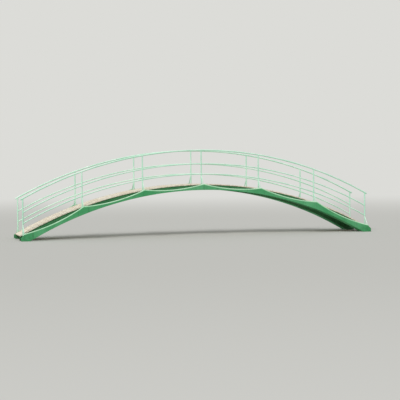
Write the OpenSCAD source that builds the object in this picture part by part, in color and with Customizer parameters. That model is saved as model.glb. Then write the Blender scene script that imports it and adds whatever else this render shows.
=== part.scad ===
// Arched garden footbridge. Lengths are in millimetres. X runs along the bridge, Y across it
// and Z up. The ground is at Z = 0, and the middle of the bridge is at X = 0, Y = 0.

/* [Span] */
// Radius of the arch, measured at the walking surface
deck_radius = 11100; // [9500:50:14000]
// Distance along X from one pair of posts to the next
bay_length = 1790; // [1500:10:1900]
// The same distance in the first and the last bay
end_bay_length = 1700; // [1450:10:1800]
// Length of the deck and girders past the last pair of posts
end_overhang = 90; // [70:5:160]
// Height of the walking surface above the ground at the ends of the deck
end_step = 150; // [130:5:190]

/* [Deck] */
// Width of the walking surface
deck_width = 1050; // [900:10:1500]
// Thickness of the deck boards
board_thickness = 30; // [22:1:45]
// Open joint between the boards of one bay and the next
bay_joint = 5; // [3:1:10]

/* [Girders] */
// Thickness of each arched girder
girder_thickness = 60; // [40:1:90]
// Distance that the deck's edge reaches out past the girder's outer face
girder_inset = 25; // [10:1:60]
// Height from the girder's underside to the walking surface at the crown
crown_depth = 170; // [150:5:220]
// Height from the girder's underside to the walking surface at the ends, before the seat is cut
end_depth = 300; // [250:5:340]

/* [Cross beams] */
// Width of a cross beam, along the bridge
beam_width = 90; // [80:1:120]
// Height of a cross beam
beam_depth = 55; // [45:1:75]
// Distance that a cross beam reaches out past the line of the posts
outrigger_reach = 240; // [236:2:300]

/* [Fascia] */
// Thickness of the scalloped fascia
fascia_thickness = 22; // [16:1:30]
// Depth of the fascia's points below the walking surface
point_drop = 16; // [5:1:30]
// Dip of each scallop below the straight line between its two points
scallop_dip = 84; // [50:1:95]
// Diameter of the round bead that lies along the scallops
bead_diameter = 34; // [26:1:40]
// Depth of the flat on the underside of the bead, where it seats on the fascia
bead_flat = 5; // [3:1:8]

/* [Posts] */
// Diameter of the posts
post_diameter = 38; // [32:1:42]
// Space between the deck's edge and the posts
post_gap = 6; // [4:1:15]
// Thickness of the foot plates
plate_thickness = 8; // [6:1:14]
// Margin from the foot plates to the sides and ends of the cross beams and to the deck
plate_margin = 4; // [2:1:5]
// Diameter of the raking stays
stay_diameter = 24; // [16:1:26]
// Distance from the post to the foot of its stay, at the plate
stay_reach = 214; // [150:1:216]
// Height above the walking surface at which a stay meets its post
stay_height = 260; // [220:5:380]

/* [Rails] */
// Height of the top rail's centre line above the walking surface
top_rail_height = 1000; // [850:1:1100]
// Height of the middle rail's centre line above the walking surface
mid_rail_height = 600; // [520:1:680]
// Height of the low rail's centre line above the walking surface
low_rail_height = 295; // [230:1:360]
// Diameter of the top rail
top_rail_diameter = 44; // [43:1:54]
// Diameter of the middle and low rails
rail_diameter = 34; // [24:1:36]
// Length of the top rail past the last posts
rail_overhang = 60; // [30:1:70]
// Space left round a welded or notched joint
joint_fit = 0.3; // [0.2:0.1:0.5]

/* [Hidden] */

bay_count = 6;
frame_count = bay_count + 1;
middle_frame = (frame_count + 1) / 2;
inner_bays = bay_count / 2 - 1;
arc_steps = 720;
round_steps = 64;

// Lengths and heights of the arch
half_posts = inner_bays * bay_length + end_bay_length;
half_length = half_posts + end_overhang;
arch_rise = deck_radius - sqrt(pow(deck_radius, 2) - pow(half_length, 2));
arch_centre = end_step + arch_rise - deck_radius;
crown_height = end_step + arch_rise;
under_radius = deck_radius - board_thickness;

// The girder's underside is an arc through its crown point and its two end points
soffit_rise = arch_rise + end_depth - crown_depth;
soffit_radius = (pow(half_length, 2) + pow(soffit_rise, 2)) / (2 * soffit_rise);
soffit_centre = crown_height - crown_depth - soffit_radius;

// Places across the bridge, measured out from the middle
girder_face = deck_width / 2 - girder_inset;
post_line = deck_width / 2 + post_gap + post_diameter / 2;
beam_reach = post_line + outrigger_reach;
plate_start = deck_width / 2 + plate_margin;
plate_end = beam_reach - plate_margin;
plate_radius = under_radius + plate_thickness;
post_root_radius = under_radius + plate_thickness / 2;

// Greens of the painted work and the bleached boards
rail_green = "#bfe3c8";
bead_green = "#9bd3a6";
fascia_green = "#3f8f5c";
girder_green = "#2c6a43";
board_tan = "#dcc4ad";

// X of a line of posts, counted from 1 at the left end
function frame_x(index) =
    let (step = index - middle_frame)
    let (outer_bays = max(abs(step) - inner_bays, 0))
    sign(step) * ((abs(step) - outer_bays) * bay_length + outer_bays * end_bay_length);

// Angle from the vertical at which an arc of this radius passes X
function angle_at(x, radius) = asin(x / radius);

// Height of an arc about the arch's centre at X
function arch_height(x, radius) = arch_centre + sqrt(pow(radius, 2) - pow(x, 2));

// Point of the fascia at a line of posts, as [X, Z]
function fascia_point(index) =
    [frame_x(index), arch_height(frame_x(index), deck_radius) - point_drop];

// Radius of the scallop between the points of two neighbouring lines of posts
function scallop_radius(index) =
    let (half_chord = norm(fascia_point(index + 1) - fascia_point(index)) / 2)
    (pow(half_chord, 2) + pow(scallop_dip, 2)) / (2 * scallop_dip);

// Centre of that scallop, on the line that crosses the chord in its middle
function scallop_centre(index) =
    let (chord = fascia_point(index + 1) - fascia_point(index))
    let (middle = (fascia_point(index) + fascia_point(index + 1)) / 2)
    let (normal = [-chord[1], chord[0]] / norm(chord))
    middle + normal * (scallop_radius(index) - scallop_dip);

// Keeps the front as drawn, or mirrors it to the back
module on_side(side) {
    mirror([0, side == "back" ? 1 : 0, 0])
        children();
}

// Sweeps a profile about the Y axis, between two angles from the vertical
module sweep_arc(from_angle, to_angle) {
    rotate([90, 0, 0])
        rotate([0, 0, 90 - to_angle])
            rotate_extrude(angle = to_angle - from_angle, $fn = arc_steps)
                children();
}

// Block on one side of the arch's slope at X, used to cut the ends of upright pieces
module slope_block(x, z, size) {
    translate([x, 0, z])
        rotate([0, angle_at(x, deck_radius), 0])
            translate([0, 0, size / 2])
                cube([abs(size), 3 * beam_reach, abs(size)], center = true);
}

// Side outline between an upper edge and the girder's underside, cut off at ground level
module arched_outline(upper_radius, upper_centre) {
    difference() {
        intersection() {
            translate([0, upper_centre])
                circle(r = upper_radius, $fn = arc_steps);
            translate([-half_length, 0])
                square([2 * half_length, upper_centre + upper_radius]);
        }
        translate([0, soffit_centre])
            circle(r = soffit_radius, $fn = arc_steps);
    }
}

// Stands a side outline up and gives it thickness from an outer face inward
module upright_slab(outer_face, thickness) {
    translate([0, thickness - outer_face, 0])
        rotate([90, 0, 0])
            linear_extrude(thickness)
                children();
}

// One cross beam, curved on top to lie along the deck, with the given space round it
module beam_block(index, space) {
    x = frame_x(index);
    centre_angle = angle_at(x, under_radius);
    half_angle = asin((beam_width / 2 + space) / under_radius);
    translate([0, 0, arch_centre])
        sweep_arc(centre_angle - half_angle, centre_angle + half_angle)
            translate([under_radius - beam_depth - space, -beam_reach])
                square([beam_depth + space, 2 * beam_reach]);
}

// Arched girder with level seats at its ends and a notch for each cross beam
module girder(side) {
    color(girder_green)
        on_side(side)
            difference() {
                upright_slab(girder_face, girder_thickness)
                    arched_outline(under_radius, arch_centre);
                for (index = [1 : frame_count])
                    beam_block(index, joint_fit);
            }
}

// Fascia whose upper edge dips in a scallop from one line of posts to the next
module fascia(side) {
    color(fascia_green)
        on_side(side)
            upright_slab(beam_reach + fascia_thickness, fascia_thickness)
                difference() {
                    arched_outline(deck_radius, arch_centre);
                    for (index = [0 : frame_count])
                        translate(scallop_centre(index))
                            circle(r = scallop_radius(index), $fn = arc_steps);
                }
}

// Section of the bead: a round bar with a flat underside that faces away from the scallop's centre
module bead_profile() {
    difference() {
        translate([bead_flat - bead_diameter / 2, 0])
            circle(d = bead_diameter, $fn = round_steps);
        translate([0, -bead_diameter / 2])
            square([bead_flat, bead_diameter]);
    }
}

// One length of bead, mitred at the lines of posts and seated just clear of the fascia
module bead_length(index) {
    centre = scallop_centre(index);
    radius = scallop_radius(index);
    from_x = frame_x(index);
    to_x = frame_x(index + 1);
    from_angle = asin((from_x - bead_diameter - centre[0]) / radius);
    to_angle = asin((to_x + bead_diameter - centre[0]) / radius);
    intersection() {
        translate([centre[0], 0, centre[1]])
            rotate([-90, 0, 0])
                rotate([0, 0, 90 - to_angle])
                    rotate_extrude(angle = to_angle - from_angle, $fn = arc_steps)
                        translate([radius - joint_fit, 0])
                            bead_profile();
        translate([from_x + joint_fit / 2, -bead_diameter, 0])
            cube([to_x - from_x - joint_fit, 2 * bead_diameter, crown_height + bead_diameter]);
    }
}

// The bead of one side, in a length for each bay along the middle of the fascia's edge
module bead(side) {
    fascia_middle = beam_reach + fascia_thickness / 2;
    color(bead_green)
        translate([0, side == "back" ? fascia_middle : -fascia_middle, 0])
            for (index = [1 : bay_count])
                bead_length(index);
}

// Cross beam under one pair of posts, whose ends reach out to the fascias
module cross_beam(index) {
    color(girder_green)
        beam_block(index, 0);
}

// Boards of one bay, bent along the arch
module deck_bay(index) {
    joint_angle = asin(bay_joint / 2 / deck_radius);
    from_x = index == 1 ? -half_length : frame_x(index);
    to_x = index == bay_count ? half_length : frame_x(index + 1);
    from_angle = angle_at(from_x, deck_radius) + (index == 1 ? 0 : joint_angle);
    to_angle = angle_at(to_x, deck_radius) - (index == bay_count ? 0 : joint_angle);
    color(board_tan)
        translate([0, 0, arch_centre])
            sweep_arc(from_angle, to_angle)
                translate([under_radius, -deck_width / 2])
                    square([board_thickness, deck_width]);
}

// Rail parallel to the deck, at a height above it, between two places along the bridge
module rail_arc(height, diameter, from_x, to_x) {
    translate([0, -post_line, arch_centre + height])
        sweep_arc(angle_at(from_x, deck_radius), angle_at(to_x, deck_radius))
            translate([deck_radius, 0])
                circle(d = diameter, $fn = round_steps);
}

// Foot plate of a post and its stay, bent along the top of the cross beam
module foot_plate(index) {
    centre_angle = angle_at(frame_x(index), under_radius);
    half_angle = asin((beam_width / 2 - plate_margin) / under_radius);
    translate([0, 0, arch_centre])
        sweep_arc(centre_angle - half_angle, centre_angle + half_angle)
            translate([under_radius, plate_start])
                square([plate_thickness, plate_end - plate_start]);
}

// Upright post on its foot plate, with its top shaped to the rail that it carries
module post(index, side) {
    x = frame_x(index);
    foot = arch_height(x, post_root_radius);
    top = arch_height(x, deck_radius - top_rail_diameter / 2) + top_rail_height;
    color(rail_green)
        on_side(side) {
            foot_plate(index);
            difference() {
                translate([x, -post_line, foot - post_diameter])
                    cylinder(h = top - foot + 2 * post_diameter, d = post_diameter, $fn = round_steps);
                slope_block(x, foot, -3 * post_diameter);
                slope_block(x, top, 3 * post_diameter);
            }
        }
}

// Raking stay from the foot plate up to the outer side of one post
module stay(index) {
    x = frame_x(index);
    foot = arch_height(x, plate_radius);
    rise = arch_height(x, deck_radius) + stay_height - foot;
    lean = atan2(stay_reach, rise);
    length = norm([stay_reach, rise]);
    difference() {
        translate([x, -post_line - stay_reach, foot])
            rotate([-lean, 0, 0])
                translate([0, 0, -stay_diameter])
                    cylinder(h = length + stay_diameter, d = stay_diameter, $fn = round_steps);
        slope_block(x, foot, -3 * stay_diameter);
        translate([x, -post_line, foot])
            cylinder(h = 2 * rise, d = post_diameter + 2 * joint_fit, $fn = round_steps);
    }
}

// The stays of one side
module stays(side) {
    color(rail_green)
        on_side(side)
            for (index = [1 : frame_count])
                stay(index);
}

// Top rail, in two lengths that meet over the middle post and run a little past the last posts
module top_rail(side) {
    reach = half_posts + rail_overhang;
    color(rail_green)
        on_side(side) {
            rail_arc(top_rail_height, top_rail_diameter, -reach, -joint_fit / 2);
            rail_arc(top_rail_height, top_rail_diameter, joint_fit / 2, reach);
        }
}

// Space for a post in the end of a lower rail, with a block that takes off the thin horns of a
// rail as wide as the post
module post_notch() {
    height = 4 * post_diameter;
    horn_reach = post_diameter / 5;
    cylinder(h = height, d = post_diameter + 2 * joint_fit, center = true, $fn = round_steps);
    cube([2 * horn_reach, rail_diameter + 2 * joint_fit, height], center = true);
}

// One length of a lower rail, notched at each end to fit round the post
module rail_length(index, height) {
    from_x = frame_x(index);
    to_x = frame_x(index + 1);
    difference() {
        rail_arc(height, rail_diameter, from_x, to_x);
        for (x = [from_x, to_x])
            translate([x, -post_line, arch_height(x, deck_radius) + height])
                post_notch();
    }
}

// Lower rail in lengths that fit between the posts
module lower_rail(height, side) {
    color(rail_green)
        on_side(side)
            for (index = [1 : bay_count])
                rail_length(index, height);
}

girder("front");  // front_girder
girder("back");  // back_girder
fascia("front");  // front_fascia
fascia("back");  // back_fascia
bead("front");  // front_bead
bead("back");  // back_bead
cross_beam(1);  // cross_beam_1
cross_beam(2);  // cross_beam_2
cross_beam(3);  // cross_beam_3
cross_beam(4);  // cross_beam_4
cross_beam(5);  // cross_beam_5
cross_beam(6);  // cross_beam_6
cross_beam(7);  // cross_beam_7
deck_bay(1);  // deck_bay_1
deck_bay(2);  // deck_bay_2
deck_bay(3);  // deck_bay_3
deck_bay(4);  // deck_bay_4
deck_bay(5);  // deck_bay_5
deck_bay(6);  // deck_bay_6
post(1, "front");  // front_post_1
post(2, "front");  // front_post_2
post(3, "front");  // front_post_3
post(4, "front");  // front_post_4
post(5, "front");  // front_post_5
post(6, "front");  // front_post_6
post(7, "front");  // front_post_7
post(1, "back");  // back_post_1
post(2, "back");  // back_post_2
post(3, "back");  // back_post_3
post(4, "back");  // back_post_4
post(5, "back");  // back_post_5
post(6, "back");  // back_post_6
post(7, "back");  // back_post_7
stays("front");  // front_stays
stays("back");  // back_stays
top_rail("front");  // front_top_rail
top_rail("back");  // back_top_rail
lower_rail(mid_rail_height, "front");  // front_mid_rail
lower_rail(mid_rail_height, "back");  // back_mid_rail
lower_rail(low_rail_height, "front");  // front_low_rail
lower_rail(low_rail_height, "back");  // back_low_rail
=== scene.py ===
"""Arched garden footbridge: bare boards, painted sides, bent railings and a plain studio."""

import logging
import math
import random
from collections.abc import Callable, Iterable
from dataclasses import dataclass, field
from enum import Enum

import bmesh
import bpy
from mathutils import Matrix, Vector, noise
from mathutils.bvhtree import BVHTree


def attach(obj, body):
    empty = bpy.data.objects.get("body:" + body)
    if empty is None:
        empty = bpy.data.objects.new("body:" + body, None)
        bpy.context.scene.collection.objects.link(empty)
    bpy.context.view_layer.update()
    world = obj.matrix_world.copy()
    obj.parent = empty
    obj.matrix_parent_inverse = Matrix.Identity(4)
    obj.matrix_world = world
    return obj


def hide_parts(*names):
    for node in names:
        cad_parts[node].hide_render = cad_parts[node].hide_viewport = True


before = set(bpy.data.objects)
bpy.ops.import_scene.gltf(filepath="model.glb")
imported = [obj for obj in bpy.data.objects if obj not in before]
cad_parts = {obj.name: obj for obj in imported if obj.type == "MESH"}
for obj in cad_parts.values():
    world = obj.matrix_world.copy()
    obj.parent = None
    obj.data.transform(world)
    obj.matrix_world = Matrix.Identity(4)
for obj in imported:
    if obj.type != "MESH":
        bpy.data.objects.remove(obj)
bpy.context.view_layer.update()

log = logging.getLogger("footbridge")

Material = bpy.types.Material
Colour = tuple[float, float, float, float]
Pair = tuple[float, float]
Triple = tuple[float, float, float]
Pin = tuple[float, float, float, int]
ACROSS = Vector((0.0, 1.0, 0.0))
UP = Vector((0.0, 0.0, 1.0))
FULL_TURN = 2 * math.pi
QUARTER_TURN = math.pi / 2
SMOOTH_BELOW = math.radians(50)
FLAT_BELOW = math.radians(0.05)
SAME_PLACE = 1e-5
NO_LENGTH = 1e-6
WHITE = (1.0, 1.0, 1.0, 1.0)
GIRDER_LINE = 0.47
BOARD_TONE = "tone"
WELD_SIDES = 8
WELD_STEPS = 28
WELD_SEAT = 0.2
HEAD_SEAT = 0.1
RIPPLE = 0.16
RIPPLES = 19
RIPPLE_SHIFT = 50


def shade(code: str) -> Colour:
    """Turn a screen colour into the linear one that a shader takes.

    Args:
        code: The colour as six hexadecimal digits.

    Returns:
        Its red, green, blue and alpha in linear light.
    """
    screen = [int(code[place:place + 2], 16) / 255 for place in (0, 2, 4)]
    linear = [v / 12.92 if v <= 0.04045 else ((v + 0.055) / 1.055) ** 2.4 for v in screen]
    return linear[0], linear[1], linear[2], 1.0


class Side(Enum):
    """The two long sides of the bridge, by the sign of Y."""

    FRONT = -1
    BACK = 1

    @property
    def label(self) -> str:
        """Name of the side, as the nodes have it."""
        return self.name.lower()


class RailPlace(Enum):
    """The three rails of a railing."""

    TOP = "top"
    MIDDLE = "mid"
    LOW = "low"


@dataclass(frozen=True)
class Arch:
    """The arch that the deck, girders and rails share, and the lines of posts along it."""

    radius: float = 11.1
    crown: float = 1.53542
    bay: float = 1.79
    end_bay: float = 1.7
    bays: int = 6
    overhang: float = 0.09

    @property
    def centre(self) -> float:
        """Height of the arch's centre."""
        return self.crown - self.radius

    @property
    def half_posts(self) -> float:
        """X of the last line of posts."""
        return self.frame_x(self.bays + 1)

    @property
    def half_length(self) -> float:
        """X of the end of the deck."""
        return self.half_posts + self.overhang

    @property
    def frames(self) -> list[tuple[int, float]]:
        """Number and X of each line of posts, from the left."""
        return [(index, self.frame_x(index)) for index in range(1, self.bays + 2)]

    @property
    def spans(self) -> list[Pair]:
        """X of the posts at the left and right of each bay, from the left."""
        places = [x for _, x in self.frames]
        return list(zip(places, places[1:]))

    def frame_x(self, index: int) -> float:
        """Work out where a line of posts stands.

        Args:
            index: Its number, from 1 at the left.

        Returns:
            Its X.
        """
        step = index - 1 - self.bays / 2
        outer = max(abs(step) - self.bays / 2 + 1, 0)
        return math.copysign((abs(step) - outer) * self.bay + outer * self.end_bay, step)

    def angle(self, x: float) -> float:
        """Slope of the arch at X, as an angle about Y."""
        return math.asin(x / self.radius)

    def outward(self, x: float) -> Vector:
        """Direction square to the arch at X."""
        return Vector((math.sin(self.angle(x)), 0, math.cos(self.angle(x))))

    def onward(self, x: float) -> Vector:
        """Direction along the arch at X."""
        return Vector((math.cos(self.angle(x)), 0, -math.sin(self.angle(x))))

    def point(self, x: float, y: float, rise: float) -> Vector:
        """Point at X and Y of the arch moved straight up by a rise."""
        return Vector((x, y, self.centre + rise + math.sqrt(self.radius ** 2 - x ** 2)))

    def seat(self, angle: float, y: float = 0.0, depth: float = 0.0) -> Matrix:
        """Place a piece that lies on the arch.

        Args:
            angle: Angle about Y from the crown.
            y: Place across the bridge.
            depth: Depth below the walking surface.

        Returns:
            The transform from a frame with Z square to the arch.
        """
        turn = Matrix.Rotation(angle, 4, "Y")
        return Matrix.Translation((0, y, self.centre)) @ turn @ Matrix.Translation(
            (0, 0, self.radius - depth)
        )


def math_node(operation: str, swapped: bool = False) -> Callable[..., "Signal"]:
    """Make an operator that puts a signal and other values through one Math node.

    Args:
        operation: The node's operation.
        swapped: Whether the signal comes last.

    Returns:
        The operator.
    """
    def apply(signal: "Signal", *others: "Signal | float") -> "Signal":
        """Put the values through the node."""
        values = (*others, signal) if swapped else (signal, *others)
        return signal.recipe.node("Math", dict(enumerate(values)), operation=operation)

    return apply


@dataclass(frozen=True)
class Signal:
    """A value that comes out of a recipe's node, for use in expressions."""

    recipe: "Recipe"
    socket: bpy.types.NodeSocket

    __add__ = __radd__ = math_node("ADD")
    __sub__ = math_node("SUBTRACT")
    __rsub__ = math_node("SUBTRACT", swapped=True)
    __mul__ = math_node("MULTIPLY")
    __truediv__ = math_node("DIVIDE")
    __pow__ = math_node("POWER")
    __abs__ = math_node("ABSOLUTE")
    turn_from = math_node("ARCTAN2")
    folded = math_node("PINGPONG")

    def step(self, low: float, high: float) -> "Signal":
        """Rise smoothly from 0 to 1 between two values, or fall where the first is the larger."""
        limits = {"Value": self, "From Min": low, "From Max": high}
        return self.recipe.node("MapRange", limits, interpolation_type="SMOOTHSTEP")


@dataclass(frozen=True)
class Places:
    """Where a point lies: in the room, and along, across and out from the arch."""

    room: Signal
    x: Signal
    y: Signal
    z: Signal
    along: Signal
    out: Signal


class Recipe:
    """The nodes of one material or of the world."""

    def __init__(self, tree: bpy.types.NodeTree) -> None:
        """Start with an empty tree."""
        tree.nodes.clear()
        self.tree = tree

    @classmethod
    def material(cls, name: str) -> tuple[Material, "Recipe"]:
        """Start a material.

        Args:
            name: Name of the material.

        Returns:
            The material and its recipe.
        """
        made = bpy.data.materials.new(name)
        made.use_nodes = True
        return made, cls(made.node_tree)

    def node(
        self, kind: str, sockets: dict[int | str, object] | None = None,
        output: int | str | None = 0, **settings: object,
    ) -> Signal | None:
        """Add a node.

        Args:
            kind: Its type without the leading words.
            sockets: Values or signals for its inputs, by name or number.
            output: The output that is wanted, if it has one.
            **settings: Properties of the node, set before its inputs.

        Returns:
            That output, for use in expressions.
        """
        made = self.tree.nodes.new("ShaderNode" + kind)
        for name, value in settings.items():
            setattr(made, name, value)
        for name, value in (sockets or {}).items():
            if isinstance(value, Signal):
                self.tree.links.new(value.socket, made.inputs[name])
            else:
                made.inputs[name].default_value = value
        return None if output is None else Signal(self, made.outputs[output])

    def mix(self, factor: Signal, start: Signal | Colour, end: Colour) -> Signal:
        """Mix two colours by a factor."""
        return self.node("Mix", {0: factor, 6: start, 7: end}, 2, data_type="RGBA")

    def tinted(self, colour: Signal, *tints: tuple[Signal, float, Colour]) -> Signal:
        """Lay tints over a colour in turn.

        Args:
            colour: The colour underneath.
            *tints: The mask, the strength and the colour of each tint.

        Returns:
            The colour with its tints.
        """
        for mask, strength, tint in tints:
            colour = self.mix(mask * strength, colour, tint)
        return colour

    def stretch(self, vector: Signal, scale: Triple) -> Signal:
        """Scale a vector along its axes."""
        return self.node("VectorMath", {0: vector, 1: scale}, operation="MULTIPLY")

    def cloud(
        self, vector: Signal, scale: float | Triple, detail: float = 3, rough: float = 0.5,
        warp: float = 0.0,
    ) -> Signal:
        """Make noise about 0.5.

        Args:
            vector: Where it is taken.
            scale: Patches per metre, the same each way or for each axis.
            detail: Levels of finer noise on it.
            rough: Strength of each finer level.
            warp: How far it is bent by itself.

        Returns:
            The noise.
        """
        if isinstance(scale, tuple):
            vector, scale = self.stretch(vector, scale), 1.0
        sockets = {
            "Vector": vector, "Scale": scale, "Detail": detail, "Roughness": rough,
            "Distortion": warp,
        }
        return self.node("TexNoise", sockets)

    def places(self, arch: Arch) -> Places:
        """Work out where the shaded point lies.

        Args:
            arch: The arch that lengths and depths are taken from.

        Returns:
            The point's places in the room and along the arch.
        """
        room = self.node("TexCoord", output="Object")
        x, y, z = (self.node("SeparateXYZ", {0: room}, axis) for axis in "XYZ")
        above = z - arch.centre
        along = x.turn_from(above) * arch.radius
        out = (x * x + above * above) ** 0.5 - arch.radius
        return Places(room, x, y, z, along, out)

    def skin(
        self, colour: Signal, rough: Signal, relief: Signal, depth: float,
        metallic: Signal | float = 0.0,
    ) -> None:
        """End a material with its surface.

        Args:
            colour: Base colour.
            rough: Roughness.
            relief: Height of the surface, about 0 to 1.
            depth: Height in metres of a relief of 1.
            metallic: Share of bare metal.
        """
        bump = self.node("Bump", {"Strength": 1.0, "Distance": depth, "Height": relief})
        sockets = {"Base Color": colour, "Roughness": rough, "Normal": bump, "Metallic": metallic}
        paint = self.node("BsdfPrincipled", sockets)
        self.node("OutputMaterial", {"Surface": paint}, None)


@dataclass(frozen=True)
class SteelPaint:
    """Gloss paint on steel tube, paler in patches and on top, where bleaching and painted sunlight
    both lighten it, and grimy near the deck.
    """

    name: str
    arch: Arch
    fresh: Colour
    # Paler colour of bleached patches, also laid on upward faces as painted sunlight
    bleached: Colour
    undercoat: Colour = shade("4f6f57")
    rust: Colour = shade("7a4a2c")
    algae: Colour = shade("6d8560")
    grime: float = 1.0
    grime_height: float = 0.09

    def material(self) -> Material:
        """Make the finish.

        Returns:
            The material for the tubes.
        """
        made, recipe = Recipe.material(self.name)
        at = recipe.places(self.arch)
        facing = recipe.node("NewGeometry", output="Normal")
        # Painted light: faces that look up turn towards the paler colour, partly real bleaching and
        # partly painted sunlight on the tops
        upward = recipe.node("SeparateXYZ", {0: facing}, "Z").step(-0.2, 0.9)
        patches = recipe.cloud(at.room, 2.3, 4).step(0.3, 0.7)
        brushed = recipe.cloud(at.room, (26.0, 130.0, 26.0), 3, 0.6)
        streaks = recipe.cloud(at.room, (21.0, 21.0, 2.2), 5, 0.65).step(0.46, 0.8)
        low = at.out.step(self.grime_height, 0.0) * self.grime
        mottled = recipe.cloud(at.room, 31, 5, 0.65).step(0.38, 0.66)
        flaking = (recipe.cloud(at.room, 3.7, 2).step(0.52, 0.72) + low * 0.35).step(0.05, 0.4)
        scabs = recipe.cloud(at.room, 118, 4, 0.6, 0.4)
        chips = scabs.step(0.665, 0.685) * flaking
        heart = scabs.step(0.70, 0.73) * flaking
        peel = recipe.cloud(at.room, 420, 2)
        colour = recipe.tinted(
            recipe.mix((patches * 0.45 + upward * 0.45).step(0, 1), self.fresh, self.bleached),
            (brushed.step(0.35, 0.75), 0.14, WHITE),
            (streaks, 0.20, self.undercoat),
            (low * mottled, 0.35, self.algae),
            (chips, 0.85, self.undercoat),
            (heart, 1.0, self.rust),
        )
        rough = 0.34 + patches * 0.14 + chips * 0.35 + low * mottled * 0.25
        relief = brushed * 0.5 + peel * 0.25 - chips * 0.9
        recipe.skin(colour, rough, relief, depth=0.0006)
        return made


@dataclass(frozen=True)
class TimberPaint:
    """Paint on timber that is bent along the arch, with the grain ghosting through."""

    name: str
    arch: Arch
    fresh: Colour
    bleached: Colour
    bare: Colour = shade("86a184")
    dirt: Colour = shade("27442c")
    laminate: float = 0.0

    def material(self) -> Material:
        """Make the finish.

        Returns:
            The material for girders, fascias or beams.
        """
        made, recipe = Recipe.material(self.name)
        at = recipe.places(self.arch)
        board = recipe.node("CombineXYZ", {0: at.along, 1: at.y, 2: at.out})
        patches = recipe.cloud(at.room, 1.4, 5, 0.55).step(0.32, 0.68)
        grain = recipe.cloud(board, (2.6, 80.0, 80.0), 5, 0.6, 0.3)
        brushed = recipe.cloud(board, (7.0, 260.0, 260.0), 2)
        runs = recipe.cloud(at.room, (17.0, 17.0, 1.1), 4, 0.62).step(0.5, 0.78)
        splashed = at.z.step(0.26, 0.0) * recipe.cloud(at.room, 12, 5, 0.65).step(0.34, 0.66)
        cracks = recipe.cloud(board, (3.2, 150.0, 150.0), 3, 0.5, 0.2).step(0.70, 0.73)
        worn = recipe.cloud(at.room, 4.2, 4, 0.6).step(0.54, 0.70)
        flakes = worn * recipe.cloud(board, (26.0, 75.0, 75.0), 5, 0.7).step(0.58, 0.62)
        colour = recipe.tinted(
            recipe.mix(patches * 0.7, self.fresh, self.bleached),
            (grain.step(0.45, 0.8), 0.28, self.dirt),
            (runs, 0.38, self.dirt),
            (splashed, 0.5, self.dirt),
            (flakes, 0.55, self.bare),
            (cracks, 0.8, self.dirt),
        )
        relief = grain * 0.45 + brushed * 0.25 - flakes * 0.6 - cracks
        if self.laminate:
            layers = (at.out.folded(self.laminate / 2) / self.laminate).step(0.03, 0.0)
            colour = recipe.mix(layers * 0.5, colour, self.dirt)
            relief = relief - layers * 0.8
        rough = 0.42 + patches * 0.12 + flakes * 0.35 + grain * 0.12
        recipe.skin(colour, rough, relief, depth=0.0009)
        return made


@dataclass(frozen=True)
class BareBoards:
    """Bleached softwood boards that run across the bridge, each with its own tone."""

    name: str
    arch: Arch
    pale: Colour = shade("fcf4e4")
    warm: Colour = shade("efdabf")
    grey: Colour = shade("dad2c1")
    dark: Colour = shade("5b4636")
    algae: Colour = shade("7f8467")

    def material(self) -> Material:
        """Make the finish.

        Returns:
            The material for the deck boards.
        """
        made, recipe = Recipe.material(self.name)
        at = recipe.places(self.arch)
        tone = recipe.node("Attribute", output="Fac", attribute_name=BOARD_TONE)
        moved = recipe.node("CombineXYZ", {0: at.x + tone * 41, 1: at.y + tone * 17, 2: at.z})
        rings = (recipe.cloud(moved, (7.0, 0.55, 7.0), 2, 0.4) * 13).folded(1.0)
        fibres = recipe.cloud(moved, (95.0, 3.5, 95.0), 5, 0.62)
        pores = recipe.cloud(moved, (420.0, 11.0, 420.0), 3, 0.6)
        weather = recipe.cloud(at.room, 2.1, 5, 0.6).step(0.42, 0.68)
        scattered = {"Vector": recipe.stretch(moved, (7.0, 2.6, 7.0)), "Scale": 1.0}
        knots = recipe.node("TexVoronoi", scattered).step(0.085, 0.05)
        edge = abs(at.y).step(0.30, 0.52)
        mottled = recipe.cloud(at.room, 19, 5, 0.65).step(0.4, 0.66)
        near_screws = abs(abs(at.y) - GIRDER_LINE).step(0.035, 0.0)
        stain = near_screws * recipe.cloud(at.room, 24, 3).step(0.4, 0.7)
        checks = recipe.cloud(moved, (170.0, 3.0, 170.0), 3, 0.5, 0.2).step(0.69, 0.72)
        colour = recipe.tinted(
            recipe.mix(rings.step(0.15, 0.95) * 0.55, self.pale, self.warm),
            (fibres.step(0.42, 0.72), 0.45, self.grey),
            (tone.step(0.05, 0.95), 0.38, self.warm),
            (pores.step(0.5, 0.8), 0.35, self.dark),
            (weather, 0.34, self.grey),
            (knots, 0.8, self.dark),
            (edge * mottled, 0.5, self.algae),
            (stain, 0.4, self.dark),
            (checks, 0.75, self.dark),
        )
        rough = 0.72 + fibres * 0.18
        relief = fibres * 0.5 + rings * 0.25 + pores * 0.15 - checks
        recipe.skin(colour, rough, relief, depth=0.0012)
        return made


@dataclass(frozen=True)
class ZincPlate:
    """Dull zinc on screws, nuts and bolts."""

    name: str
    arch: Arch
    bright: Colour = shade("a9aca6")
    dull: Colour = shade("74756e")
    rust: Colour = shade("7c4f30")

    def material(self) -> Material:
        """Make the finish.

        Returns:
            The material for the fixings.
        """
        made, recipe = Recipe.material(self.name)
        at = recipe.places(self.arch)
        bloom = recipe.cloud(at.room, 160, 4, 0.6)
        spots = recipe.cloud(at.room, 75, 5, 0.7).step(0.56, 0.66)
        colour = recipe.mix(bloom.step(0.3, 0.7), self.bright, self.dull)
        colour = recipe.mix(spots * 0.8, colour, self.rust)
        rough, metallic = 0.42 + bloom * 0.3, (1 - spots) * 0.75
        recipe.skin(colour, rough, bloom, depth=0.0002, metallic=metallic)
        return made


def put_in_scene(name: str, data: bpy.types.ID) -> bpy.types.Object:
    """Put an object into the scene.

    Args:
        name: Name of the object.
        data: Its mesh, lamp or camera.

    Returns:
        The object.
    """
    made = bpy.data.objects.new(name, data)
    bpy.context.scene.collection.objects.link(made)
    return made


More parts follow.
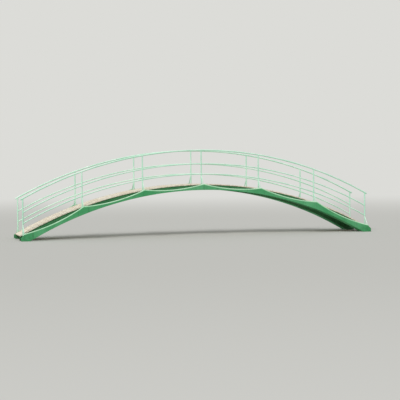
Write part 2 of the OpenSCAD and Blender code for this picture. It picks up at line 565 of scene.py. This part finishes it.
@dataclass
class Workpiece:
    """A mesh on the bench, from its first shape to a finished piece of the bridge."""

    name: str = "part"
    mesh: bmesh.types.BMesh = field(default_factory=bmesh.new)

    @classmethod
    def bar(cls, start: Vector, end: Vector, radius: float, sides: int = 24) -> "Workpiece":
        """Start with a straight round bar.

        Args:
            start: Middle of one end.
            end: Middle of the other.
            radius: Radius of the bar.
            sides: Faces round it.

        Returns:
            The closed bar.
        """
        part = cls()
        line = end - start
        turn = line.to_track_quat("Z", "Y").to_matrix().to_4x4()
        bmesh.ops.create_cone(
            part.mesh, cap_ends=True, cap_tris=False, segments=sides, radius1=radius,
            radius2=radius, depth=line.length, matrix=Matrix.Translation((start + end) / 2) @ turn,
        )
        return part

    @classmethod
    def pin(cls, low: float, high: float, radius: float, sides: int) -> "Workpiece":
        """Start with an upright round bar about the Z axis, between two heights."""
        return cls.bar(Vector((0, 0, low)), Vector((0, 0, high)), radius, sides)

    @classmethod
    def hoop(
        cls, centre: Vector, reach: float, ends: Pair, radius: float, sides: int, steps: int
    ) -> "Workpiece":
        """Start with a round bar bent about an axis that runs across the bridge.

        Args:
            centre: A point of the axis.
            reach: Height of the bar over the axis, negative for a bar that hangs under it.
            ends: Angles about the axis at which the bar starts and ends.
            radius: Radius of the bar.
            sides: Faces round it.
            steps: Faces along it.

        Returns:
            The bar, open at its ends.
        """
        part = cls()
        start, end = ends
        turn = Matrix.Translation(centre) @ Matrix.Rotation(start, 4, "Y")
        section = turn @ Matrix.Translation((0, 0, reach)) @ Matrix.Rotation(QUARTER_TURN, 4, "Y")
        bmesh.ops.create_circle(
            part.mesh, cap_ends=False, segments=sides, radius=radius, matrix=section
        )
        part.swing(centre, ACROSS, end - start, steps)
        return part

    @classmethod
    def block(cls, size: Triple, cuts: tuple[int, int, int] = (0, 0, 0)) -> "Workpiece":
        """Start with a block about the origin.

        Args:
            size: Its lengths along X, Y and Z.
            cuts: Cuts across each of those lengths.

        Returns:
            The closed block.
        """
        part = cls()
        bmesh.ops.create_cube(part.mesh, size=1, matrix=Matrix.Diagonal((*size, 1)))
        for axis, count in enumerate(cuts):
            if count:
                edges = part.edges_along(axis)
                bmesh.ops.subdivide_edges(part.mesh, edges=edges, cuts=count, use_grid_fill=True)
        return part

    @classmethod
    def copy(cls, name: str, node: str) -> "Workpiece":
        """Start with a merged copy of a node's mesh, with its flat faces whole.

        Args:
            name: Name of the new piece.
            node: Name of the node.

        Returns:
            The closed copy.
        """
        part = cls(name)
        part.mesh.from_mesh(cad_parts[node].data)
        bmesh.ops.remove_doubles(part.mesh, verts=part.mesh.verts, dist=SAME_PLACE)
        bmesh.ops.dissolve_limit(
            part.mesh, angle_limit=FLAT_BELOW, verts=part.mesh.verts, edges=part.mesh.edges
        )
        return part

    def add(self, part: "Workpiece", place: Matrix | None = None) -> None:
        """Join a copy of another mesh to this one.

        Args:
            part: The mesh to join.
            place: Where it goes.
        """
        data = bpy.data.meshes.new("scratch")
        part.mesh.to_mesh(data)
        data.transform(place or Matrix.Identity(4))
        self.mesh.from_mesh(data)
        bpy.data.meshes.remove(data)

    def edges_along(self, axis: int) -> list[bmesh.types.BMEdge]:
        """Edges of a block that run along an axis."""
        edges = self.mesh.edges
        return [e for e in edges if abs((e.verts[0].co - e.verts[1].co)[axis]) > NO_LENGTH]

    def bevel(self, edges: list[bmesh.types.BMEdge], width: float, segments: int) -> None:
        """Round some edges.

        Args:
            edges: The edges.
            width: Width of the rounding.
            segments: Faces across it.
        """
        bmesh.ops.bevel(
            self.mesh, geom=edges, offset=width, offset_type="OFFSET", affect="EDGES",
            segments=segments, profile=0.5, material=-1, clamp_overlap=True,
        )

    def round_edges(self, width: float, segments: int = 2, sharper: float = 40.0) -> None:
        """Round the sharp edges.

        Args:
            width: Width of the rounding.
            segments: Faces across it.
            sharper: Edges that turn by more degrees than this are rounded.
        """
        limit = math.radians(sharper)
        edges = [e for e in self.mesh.edges if e.is_manifold and e.calc_face_angle() > limit]
        self.bevel(edges, width, segments)

    def cut(self, point: Vector, normal: Vector) -> None:
        """Cut off what lies on a plane's normal side and close the cut.

        Args:
            point: A point of the plane.
            normal: The side that goes.
        """
        everything = self.mesh.verts[:] + self.mesh.edges[:] + self.mesh.faces[:]
        bmesh.ops.bisect_plane(
            self.mesh, geom=everything, plane_co=point, plane_no=normal, clear_outer=True
        )
        self.close()

    def close(self) -> None:
        """Close open ends."""
        rims = [e for e in self.mesh.edges if e.is_boundary]
        bmesh.ops.holes_fill(self.mesh, edges=rims, sides=0)

    def swing(self, centre: Vector, axis: Vector, angle: float, steps: int) -> None:
        """Sweep what is there round an axis.

        Args:
            centre: A point of the axis.
            axis: Its direction.
            angle: Angle to sweep through.
            steps: Steps of the sweep.
        """
        full = abs(angle) >= FULL_TURN
        bmesh.ops.spin(
            self.mesh, geom=self.mesh.verts[:] + self.mesh.edges[:], cent=centre, axis=axis,
            angle=angle, steps=steps, use_merge=full, use_duplicate=False,
        )

    def dome_ends(self, reach: float, rings: int = 4) -> None:
        """Close the two open ends of a swept bar with shallow domes.

        Args:
            reach: How far each dome stands out.
            rings: Rings of faces over the dome.
        """
        rims = [e for e in self.mesh.edges if e.is_boundary]
        for sign in (-1, 1):
            loop = [e for e in rims if e.verts[0].co.x * sign > 0]
            points = list(dict.fromkeys(v for e in loop for v in e.verts))
            middle = sum((v.co for v in points), Vector()) / len(points)
            radius = (points[0].co - middle).length
            far = (loop[0].verts[0].co - middle).cross(loop[0].verts[1].co - middle).normalized()
            outward = far if far.x * sign > 0 else -far
            for ring in range(1, rings):
                turn = ring / rings * QUARTER_TURN
                grown = bmesh.ops.extrude_edge_only(self.mesh, edges=loop)["geom"]
                loop = [g for g in grown if isinstance(g, bmesh.types.BMEdge)]
                for vert in (g for g in grown if isinstance(g, bmesh.types.BMVert)):
                    spoke = vert.co - middle
                    spoke = (spoke - outward * spoke.dot(outward)).normalized() * radius
                    vert.co = middle + spoke * math.cos(turn) + outward * reach * math.sin(turn)
        self.close()

    def finish(
        self, material: Material, slot: str | None = None, nodes: Iterable[str] = (),
        flats: bool = False,
    ) -> None:
        """Make the mesh a piece of the bridge.

        Args:
            material: Its finish.
            slot: The record's slot that the finish belongs to; not used.
            nodes: The nodes that the piece stands for.
            flats: Whether large flat faces are shaded flat up to their rounded edges.
        """
        bmesh.ops.recalc_face_normals(self.mesh, faces=self.mesh.faces)
        data = bpy.data.meshes.new(self.name)
        self.mesh.to_mesh(data)
        self.mesh.free()
        data.materials.append(material)
        data.shade_smooth()
        data.set_sharp_from_angle(angle=SMOOTH_BELOW)
        piece = put_in_scene(self.name, data)
        if flats:
            weighted = piece.modifiers.new("flat faces", "WEIGHTED_NORMAL")
            weighted.keep_sharp = True
        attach(piece, "root")
        if nodes:
            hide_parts(*nodes)
        log.info("%s: %d faces", self.name, len(data.polygons))


@dataclass(frozen=True)
class FlatHost:
    """A flat surface that a bar is welded to."""

    point: Vector
    normal: Vector

    def travel(self, start: Vector, direction: Vector) -> float:
        """Distance along a direction from a point to the surface."""
        return (self.point - start).dot(self.normal) / direction.dot(self.normal)


@dataclass(frozen=True)
class RoundHost:
    """A round bar that another bar is welded to."""

    point: Vector
    axis: Vector
    radius: float

    def travel(self, start: Vector, direction: Vector) -> float:
        """Distance along a direction from a point to the near side of the bar.

        Args:
            start: The point.
            direction: Direction of the line, away from the bar.

        Returns:
            The distance, which is negative where the surface lies behind the point.
        """
        flat, offset = (v - self.axis * v.dot(self.axis) for v in (direction, start - self.point))
        slope = flat.dot(flat)
        half = offset.dot(flat)
        rest = max(half * half - slope * (offset.dot(offset) - self.radius * self.radius), 0.0)
        return (-half + math.sqrt(rest)) / slope


def weld(
    joint: Vector, direction: Vector, radius: float, host: FlatHost | RoundHost, size: float
) -> Workpiece:
    """Lay a fillet of weld round a bar where it meets another surface.

    Args:
        joint: Point of the bar's centre line near the joint.
        direction: Direction of the bar, away from what it meets.
        radius: Radius of the bar.
        host: The surface that the bar meets.
        size: Radius of the weld's section.

    Returns:
        The ring of weld.
    """
    ring = Workpiece()
    reach = radius + size * WELD_SEAT
    section = Matrix.Translation((reach, 0, 0)) @ Matrix.Rotation(QUARTER_TURN, 4, "X")
    bmesh.ops.create_circle(
        ring.mesh, cap_ends=False, segments=WELD_SIDES, radius=size, matrix=section
    )
    ring.swing(Vector(), UP, FULL_TURN, WELD_STEPS)
    turn = direction.to_track_quat("Z", "Y").to_matrix()
    for vert in ring.mesh.verts:
        around = math.atan2(vert.co.y, vert.co.x)
        spoke = Vector((math.cos(around), math.sin(around), 0.0))
        swell = 1 + RIPPLE * math.sin(around * RIPPLES + joint.x * RIPPLE_SHIFT)
        centre = spoke * reach
        vert.co = centre + (vert.co - centre) * swell
        on_bar = joint + turn @ (spoke * radius)
        vert.co = joint + turn @ vert.co + direction * host.travel(on_bar, direction)
    return ring


@dataclass(frozen=True)
class HexFixing:
    """A hexagon bolt head or nut on its washer, standing on Z = 0.

    Each of its bars has a lower and an upper height, a radius and a number of sides.
    """

    washer: Pin = (-0.001, 0.0016, 0.00875, 20)
    block: Pin = (0.0012, 0.0068, 0.0065, 6)
    stub: Pin = (0.006, 0.0115, 0.0038, 14)
    washer_edge: float = 0.0004
    chamfer: float = 0.0011
    stub_edge: float = 0.0006

    def head(self) -> Workpiece:
        """Make the head of a bolt.

        Returns:
            The head on its washer.
        """
        fixing, block = Workpiece.pin(*self.washer), Workpiece.pin(*self.block)
        fixing.round_edges(self.washer_edge, segments=1)
        middle = self.block[1] / 2
        rim = [e for e in block.mesh.edges if all(v.co.z > middle for v in e.verts)]
        block.bevel(rim, self.chamfer, segments=1)
        fixing.add(block)
        return fixing

    def nut(self) -> Workpiece:
        """Make a nut with the end of its bolt through it.

        Returns:
            The nut on its washer.
        """
        fixing, stub = self.head(), Workpiece.pin(*self.stub)
        stub.round_edges(self.stub_edge, segments=1)
        fixing.add(stub)
        return fixing


def round_head(radius: float, rise: float) -> Workpiece:
    """Make a low round bolt head, standing on Z = 0.

    Args:
        radius: Radius of the head.
        rise: Height of the head.

    Returns:
        The closed head.
    """
    head = Workpiece()
    shape = Matrix.Diagonal((1, 1, rise / radius, 1))
    bmesh.ops.create_uvsphere(head.mesh, u_segments=16, v_segments=8, radius=radius, matrix=shape)
    head.cut(Vector((0, 0, -rise * HEAD_SEAT)), -UP)
    return head


@dataclass
class Deck:
    """The boards of the deck, laid bay by bay across the arch, with their screws."""

    arch: Arch
    wood: Material
    zinc: Material
    width: float = 1.05
    thickness: float = 0.03
    bay_joint: float = 0.005
    board: float = 0.1435
    gap: float = 0.006
    trim: float = 0.002
    cuts: tuple[int, int, int] = (3, 15, 0)
    edge: float = 0.0028
    bend: float = 0.0012
    shortening: float = 0.004
    shift: float = 0.0015
    wobble: float = 0.0007
    wobble_waves: Pair = (14.0, 5.0)
    splinter: float = 0.0009
    splinter_waves: Pair = (31.0, 60.0)
    splinter_start: float = 7.0
    noise_range: float = 90.0
    screw_bar: Pin = (-0.004, 0.0004, 0.0046, 12)
    screw_rim: float = 0.0008
    screw_recess: float = 0.0012
    screw_spread: float = 0.31
    screw_stray: Pair = (0.004, 0.006)
    seed: int = 11

    def bay_angles(self, bay: int) -> Pair:
        """Angles at which a bay's boards start and end.

        Args:
            bay: Number of the bay, from the left.

        Returns:
            The two angles about Y from the crown.
        """
        joint = math.asin(self.bay_joint / 2 / self.arch.radius)
        first, last = bay == 1, bay == self.arch.bays
        start = self.arch.angle(-self.arch.half_length if first else self.arch.frame_x(bay))
        end = self.arch.angle(self.arch.half_length if last else self.arch.frame_x(bay + 1))
        return start + (0 if first else joint), end - (0 if last else joint)

    def plank(self, width: float, draw: random.Random) -> Workpiece:
        """Make one board about the origin, with its top at Z = 0.

        Args:
            width: Width of the board.
            draw: Source of the board's own bends and tone.

        Returns:
            The board, with its tone on its points.
        """
        plank = Workpiece.block((width, self.width - self.trim, self.thickness), self.cuts)
        plank.round_edges(self.edge)
        cup = draw.uniform(-self.bend, self.bend)
        crook = draw.uniform(-self.bend, self.bend)
        short = draw.uniform(0.0, self.shortening)
        shift = draw.uniform(-self.shift, self.shift)
        start = draw.uniform(0.0, self.noise_range)
        tone = plank.mesh.verts.layers.float.new(BOARD_TONE)
        value = draw.random()
        waves, ragged = self.wobble_waves, self.splinter_waves
        for vert in plank.mesh.verts:
            x, y, z = vert.co
            across, along = x / (width / 2), y / (self.width / 2)
            wobble = noise.noise(Vector((x * waves[0], y * waves[1], start)))
            spot = Vector((y * ragged[0], z * ragged[1], start + self.splinter_start))
            splinter = noise.noise(spot)
            vert.co.z += cup * across ** 2 + wobble * self.wobble - self.thickness / 2 - abs(cup)
            vert.co.x += crook * along ** 2 + splinter * self.splinter * across
            vert.co.y = y * (1 - short) + shift
            vert[tone] = value
        return plank

    def screw(self) -> Workpiece:
        """Make a countersunk screw head whose rim stands just over Z = 0.

        Returns:
            The head, with a recess for the driver.
        """
        head = Workpiece.pin(*self.screw_bar)
        top = [f for f in head.mesh.faces if f.normal.z > 0.9]
        for inset, depth in ((self.screw_rim, 0.0), (self.screw_recess, self.screw_recess)):
            bmesh.ops.inset_region(head.mesh, faces=top, thickness=inset, depth=-depth)
        return head

    def build(self) -> None:
        """Lay the boards of every bay and drive their screws."""
        draw = random.Random(self.seed)
        screws = Workpiece("deck_screws")
        head = self.screw()
        stray_x, stray_y = self.screw_stray
        for bay in range(1, self.arch.bays + 1):
            start, end = self.bay_angles(bay)
            length = (end - start) * self.arch.radius
            count = round((length + self.gap) / (self.board + self.gap))
            width = (length - (count - 1) * self.gap) / count
            boards = Workpiece(f"deck_boards_{bay}")
            boards.mesh.verts.layers.float.new(BOARD_TONE)
            for place in range(count):
                middle = start + (place * (width + self.gap) + width / 2) / self.arch.radius
                plank, seat = self.plank(width, draw), self.arch.seat(middle)
                surface = BVHTree.FromBMesh(plank.mesh)
                boards.add(plank, seat)
                for y in (-GIRDER_LINE, GIRDER_LINE):
                    for side in (-1, 1):
                        x = side * width * self.screw_spread + draw.uniform(-stray_x, stray_x)
                        above = Vector((x, y + draw.uniform(-stray_y, stray_y), self.thickness))
                        spot = surface.ray_cast(above, -UP)[0]
                        screws.add(head, seat @ Matrix.Translation(spot))
            boards.finish(self.wood, "deck_boards", [f"deck_bay_{bay}"], flats=True)
        screws.finish(self.zinc)


@dataclass
class CrossBeams:
    """The beams under the posts."""

    arch: Arch
    paint: Material
    edge: float = 0.003

    def build(self) -> None:
        """Finish each beam with rounded edges."""
        for index, _ in self.arch.frames:
            beam = Workpiece.copy(f"beam_{index}", f"cross_beam_{index}")
            beam.round_edges(self.edge)
            beam.finish(self.paint, "beam_green", [f"cross_beam_{index}"], flats=True)


@dataclass
class SideFrame:
    """The girder, fascia and bead of one side, with the fascia's bolts."""

    arch: Arch
    side: Side
    # The girder's paint holds painted shade: greens darker than the fascia's
    girder_paint: Material
    fascia_paint: Material
    bead_paint: Material
    fascia_face: float = 0.812
    fascia_middle: float = 0.801
    point_drop: float = 0.016
    dip: float = 0.084
    bead_radius: float = 0.017
    bead_bite: float = 0.005
    bolt_radius: float = 0.0115
    bolt_rise: float = 0.0045
    bolt_spread: float = 0.027
    bolt_depth: float = 0.056
    girder_edge: float = 0.004
    fascia_edge: float = 0.003

    @property
    def bead_y(self) -> float:
        """Place of the bead across the bridge."""
        return self.side.value * self.fascia_middle

    def bead_length(self, left: float, right: float) -> Workpiece:
        """Sweep one length of bead along its scallop and mitre its ends.

        Args:
            left: X of the posts at its left.
            right: X of the posts at its right.

        Returns:
            The closed length.
        """
        first, last = (self.arch.point(x, self.bead_y, -self.point_drop) for x in (left, right))
        chord = last - first
        radius = ((chord.length / 2) ** 2 + self.dip ** 2) / (2 * self.dip)
        upward = Vector((-chord.z, 0, chord.x)).normalized()
        centre = (first + last) / 2 + upward * (radius - self.dip)
        reach = radius - self.bead_radius + self.bead_bite
        spare = 2 * self.bead_radius
        start = math.asin((left - spare - centre.x) / radius)
        end = math.asin((right + spare - centre.x) / radius)
        length = Workpiece.hoop(
            centre, -reach, (-start, -end), self.bead_radius, sides=20, steps=26
        )
        length.close()
        length.cut(Vector((left, 0, 0)), Vector((-1, 0, 0)))
        length.cut(Vector((right, 0, 0)), Vector((1, 0, 0)))
        return length

    def bead(self) -> None:
        """Join the lengths of bead with a ball of weld over each mitre and end."""
        label = self.side.label
        bead = Workpiece(f"bead_{label}")
        for left, right in self.arch.spans:
            bead.add(self.bead_length(left, right))
        lift = self.bead_radius - self.bead_bite
        for _, x in self.arch.frames:
            ball = Workpiece()
            spot = Matrix.Translation(self.arch.point(x, self.bead_y, lift - self.point_drop))
            bmesh.ops.create_uvsphere(
                ball.mesh, u_segments=18, v_segments=10, radius=self.bead_radius, matrix=spot
            )
            bead.add(ball)
        bead.finish(self.bead_paint, "bead_green", [f"{label}_bead"])

    def bolts(self) -> None:
        """Put two round-headed bolts through the fascia into each cross beam."""
        bolts = Workpiece(f"fascia_bolts_{self.side.label}")
        head = round_head(self.bolt_radius, self.bolt_rise)
        outward = Matrix.Rotation(-self.side.value * QUARTER_TURN, 4, "X")
        face = self.side.value * self.fascia_face
        for _, x in self.arch.frames:
            seat = self.arch.seat(self.arch.angle(x), face, self.bolt_depth)
            for aside in (-self.bolt_spread, self.bolt_spread):
                bolts.add(head, seat @ Matrix.Translation((aside, 0, 0)) @ outward)
        bolts.finish(self.fascia_paint, "fascia_green")

    def build(self) -> None:
        """Finish the girder and fascia and add the bead and bolts."""
        label = self.side.label
        for kind, edge, paint in (
            ("girder", self.girder_edge, self.girder_paint),
            ("fascia", self.fascia_edge, self.fascia_paint),
        ):
            timber = Workpiece.copy(f"{kind}_{label}", f"{label}_{kind}")
            timber.round_edges(edge)
            timber.finish(paint, f"{kind}_green", [f"{label}_{kind}"], flats=True)
        self.bead()
        self.bolts()


@dataclass
class Railing:
    """The posts, stays and bent rails of one side, welded and bolted down."""

    arch: Arch
    side: Side
    paint: Material
    zinc: Material
    post_line: float = 0.55
    post_radius: float = 0.019
    rail_radius: float = 0.017
    top_radius: float = 0.022
    heights: dict[RailPlace, float] = field(
        default_factory=lambda: {RailPlace.TOP: 1.0, RailPlace.MIDDLE: 0.6, RailPlace.LOW: 0.295}
    )
    overhang: float = 0.06
    board: float = 0.03
    beam: float = 0.055
    plate: Triple = (0.082, 0.257, 0.008)
    plate_middle: float = 0.6575
    plate_corner: float = 0.008
    plate_edge: float = 0.001
    bolt_spread: float = 0.0295
    bolt_places: Pair = (0.5415, 0.7735)
    stay_radius: float = 0.012
    stay_reach: float = 0.214
    stay_height: float = 0.26
    post_root: float = 0.06
    stay_root: float = 0.03
    weld_size: float = 0.0034
    foot_weld_share: float = 0.9
    head_weld_share: float = 0.8
    dome: float = 0.008
    seed: int = 5

    @property
    def y(self) -> float:
        """Place of the posts across the bridge."""
        return self.side.value * self.post_line

    def rail(self, place: RailPlace, left: float, right: float, steps: int) -> Workpiece:
        """Bend a round rail parallel to the deck.

        Args:
            place: Which of the rails.
            left: X of its left end.
            right: X of its right end.
            steps: Steps of the bend.

        Returns:
            The rail, open at its ends.
        """
        centre = Vector((0, self.y, self.arch.centre + self.heights[place]))
        ends = self.arch.angle(left), self.arch.angle(right)
        radius = self.top_radius if place is RailPlace.TOP else self.rail_radius
        return Workpiece.hoop(centre, self.arch.radius, ends, radius, sides=24, steps=steps)

    def top_rail(self) -> None:
        """Make the top rail in one length, with domed ends."""
        reach = self.arch.half_posts + self.overhang
        rail = self.rail(RailPlace.TOP, -reach, reach, steps=110)
        rail.name = f"rail_top_{self.side.label}"
        rail.dome_ends(self.dome)
        rail.finish(self.paint, "railing_green", [f"{self.side.label}_top_rail"])

    def lower_rail(self, place: RailPlace) -> None:
        """Make a lower rail in lengths that run into the posts, welded at each end.

        Args:
            place: Which of the rails.
        """
        whole = Workpiece(f"rail_{place.value}_{self.side.label}")
        bite = self.post_radius / 2
        for left, right in self.arch.spans:
            length = self.rail(place, left + bite, right - bite, steps=17)
            length.close()
            whole.add(length)
            for x, sign in ((left, 1), (right, -1)):
                joint = self.arch.point(x, self.y, self.heights[place])
                along, post = self.arch.onward(x) * sign, RoundHost(joint, UP, self.post_radius)
                whole.add(weld(joint, along, self.rail_radius, post, self.weld_size))
        whole.finish(self.paint, "railing_green", [f"{self.side.label}_{place.value}_rail"])

    def post(self, index: int, x: float) -> None:
        """Make a post, its foot plate and its welds.

        Args:
            index: Number of the line of posts, from the left.
            x: X of the line of posts.
        """
        slope, out = self.arch.angle(x), self.arch.outward(x)
        top = self.arch.point(x, self.y, self.heights[RailPlace.TOP])
        foot = self.arch.seat(slope, self.y, self.board) @ Vector((0, 0, self.plate[2]))
        root = Vector((x, self.y, foot.z - self.post_root))
        post = Workpiece.bar(root, top, self.post_radius)
        post.name = f"post_{self.side.label}_{index}"
        post.cut(foot - out * self.plate[2] / 2, -out)
        plate = Workpiece.block(self.plate)
        plate.bevel(plate.edges_along(2), self.plate_corner, segments=4)
        plate.round_edges(self.plate_edge, segments=1, sharper=60)
        middle = self.side.value * self.plate_middle
        post.add(plate, self.arch.seat(slope, middle, self.board - self.plate[2] / 2))
        base = Vector((x, self.y, foot.z))
        post.add(weld(base, UP, self.post_radius, FlatHost(foot, out), self.weld_size))
        rail = RoundHost(top, self.arch.onward(x), self.top_radius)
        post.add(weld(top, -UP, self.post_radius, rail, self.weld_size))
        post.finish(self.paint, "railing_green", [f"{self.side.label}_post_{index}"])

    def stays(self) -> None:
        """Make the raking stays, welded to their plates and posts."""
        label = self.side.label
        stays = Workpiece(f"stays_{label}")
        for _, x in self.arch.frames:
            out = self.arch.outward(x)
            plate_top = self.arch.seat(self.arch.angle(x), 0, self.board - self.plate[2]) @ Vector()
            foot = Vector((x, self.side.value * (self.post_line + self.stay_reach), plate_top.z))
            head = self.arch.point(x, self.y, self.stay_height)
            lean = (head - foot).normalized()
            bar = Workpiece.bar(foot - lean * self.stay_root, head, self.stay_radius, sides=18)
            bar.cut(foot - out * self.plate[2] / 2, -out)
            stays.add(bar)
            plate, post = FlatHost(foot, out), RoundHost(head, UP, self.post_radius)
            foot_size = self.weld_size * self.foot_weld_share
            stays.add(weld(foot, lean, self.stay_radius, plate, foot_size))
            head_size = self.weld_size * self.head_weld_share
            stays.add(weld(head, -lean, self.stay_radius, post, head_size))
        stays.finish(self.paint, "railing_green", [f"{label}_stays"])

    def bolts(self) -> None:
        """Bolt every foot plate down, with nuts under the beam."""
        bolts = Workpiece(f"foot_bolts_{self.side.label}")
        draw = random.Random(self.side.value + self.seed)
        fixing = HexFixing()
        parts = (
            (fixing.head(), self.board - self.plate[2], 0.0),
            (fixing.nut(), self.board + self.beam, math.pi),
        )
        places = [(x, y) for x in (-self.bolt_spread, self.bolt_spread) for y in self.bolt_places]
        for _, x in self.arch.frames:
            for aside, y in places:
                for part, depth, flip in parts:
                    seat = self.arch.seat(self.arch.angle(x), self.side.value * y, depth)
                    twist = Matrix.Rotation(draw.uniform(0, 1), 4, "Z")
                    turn = Matrix.Translation((aside, 0, 0)) @ Matrix.Rotation(flip, 4, "X") @ twist
                    bolts.add(part, seat @ turn)
        bolts.finish(self.zinc)

    def build(self) -> None:
        """Make the whole railing of the side."""
        for index, x in self.arch.frames:
            self.post(index, x)
        self.stays()
        self.top_rail()
        self.lower_rail(RailPlace.MIDDLE)
        self.lower_rail(RailPlace.LOW)
        self.bolts()


@dataclass
class Studio:
    """The plain floor, the pale background, the light and the camera."""

    backdrop: Colour = shade("dcdcd8")
    floor_colour: Colour = shade("c9c9c4")
    floor_radius: float = 400.0
    fade_from: float = 9.0
    fade_to: float = 45.0
    sky_strength: float = 0.5
    sun_strength: float = 1.9
    sun_width: float = math.radians(14)
    sun_turn: Triple = (math.radians(47), 0.0, math.radians(-38))
    eye: Triple = (-9.489, -31.987, 2.0774)
    yaw: float = math.radians(16.718)
    pitch: float = math.radians(-1.77)
    roll: float = math.radians(-0.562)
    lens: float = 99.8
    sensor: float = 36.0
    sight: float = 1000.0

    def seen(self, recipe: Recipe) -> Signal:
        """Tell the rays that show the background from those that light the bridge.

        Args:
            recipe: The nodes of the floor or the sky.

        Returns:
            1 for the camera's rays and those off metal and glass, otherwise 0.
        """
        rays = ("Is Camera Ray", "Is Glossy Ray", "Is Transmission Ray")
        camera, glossy, clear = (recipe.node("LightPath", output=ray) for ray in rays)
        return (camera + glossy + clear).step(0.4, 0.6)

    def floor(self) -> None:
        """Lay the floor, which runs into the background far away."""
        material, recipe = Recipe.material("studio_floor")
        place = recipe.node("TexCoord", output="Object")
        away = recipe.node("VectorMath", {0: place}, "Value", operation="LENGTH")
        matt = recipe.node("BsdfDiffuse", {"Color": self.floor_colour})
        far = recipe.node("Emission", {"Color": self.backdrop, "Strength": 1.0})
        fade = away.step(self.fade_from, self.fade_to) * self.seen(recipe)
        both = recipe.node("MixShader", {0: fade, 1: matt, 2: far})
        recipe.node("OutputMaterial", {"Surface": both}, None)
        sheet = bmesh.new()
        bmesh.ops.create_circle(sheet, cap_ends=True, segments=96, radius=self.floor_radius)
        data = bpy.data.meshes.new("studio_floor")
        sheet.to_mesh(data)
        sheet.free()
        data.materials.append(material)
        floor = put_in_scene("studio_floor", data)

    def light(self) -> None:
        """Light the bridge with an even sky and one soft sun."""
        world = bpy.data.worlds.new("studio_sky")
        world.use_nodes = True
        recipe = Recipe(world.node_tree)
        sky = recipe.node("Background", {"Color": WHITE, "Strength": self.sky_strength})
        shown = recipe.node("Background", {"Color": self.backdrop, "Strength": 1.0})
        both = recipe.node("MixShader", {0: self.seen(recipe), 1: sky, 2: shown})
        recipe.node("OutputWorld", {"Surface": both}, None)
        bpy.context.scene.world = world
        lamp = bpy.data.lights.new("studio_sun", "SUN")
        lamp.energy = self.sun_strength
        lamp.angle = self.sun_width
        sun = put_in_scene("studio_sun", lamp)
        sun.rotation_euler = self.sun_turn

    def camera(self) -> None:
        """Stand the camera where the photograph was taken from."""
        data = bpy.data.cameras.new("camera")
        data.lens = self.lens
        data.sensor_width = self.sensor
        data.clip_end = self.sight
        camera = put_in_scene("camera", data)
        place = Matrix.Translation(self.eye) @ Matrix.Rotation(-self.yaw, 4, "Z")
        tilt = Matrix.Rotation(QUARTER_TURN + self.pitch, 4, "X")
        camera.matrix_world = place @ tilt @ Matrix.Rotation(self.roll, 4, "Z")
        bpy.context.scene.camera = camera

    def build(self) -> None:
        """Set up the whole studio."""
        self.floor()
        self.light()
        self.camera()
        bpy.context.scene.view_settings.view_transform = "Standard"


def main() -> None:
    """Build the bridge and its studio."""
    logging.basicConfig(level=logging.INFO, format="%(name)s: %(message)s")
    arch = Arch()
    # The second colour of each steel paint is also painted sunlight on the tops of the tubes and
    # bead
    tubes = SteelPaint("railing_paint", arch, shade("b2e8ca"), shade("e3faea"))
    bead = SteelPaint("bead_paint", arch, shade("9cdeac"), shade("ccf4d2"), grime=0.12)
    fascia = TimberPaint("fascia_paint", arch, shade("36965a"), shade("62b17c"))
    # Painted shade: the girder's greens are the fascia's paint made darker, for the shade in the
    # recess under the deck edge
    girder = TimberPaint("girder_paint", arch, shade("27703e"), shade("3f8552"), laminate=0.04)
    beams = TimberPaint("beam_paint", arch, shade("2a7848"), shade("418a5e"))
    zinc = ZincPlate("zinc", arch).material()
    Deck(arch, BareBoards("deck_wood", arch).material(), zinc).build()
    CrossBeams(arch, beams.material()).build()
    paints = [paint.material() for paint in (girder, fascia, bead)]
    rail_paint = tubes.material()
    for side in Side:
        SideFrame(arch, side, *paints).build()
        Railing(arch, side, rail_paint, zinc).build()
    Studio().build()


if __name__ == "__main__":
    main()
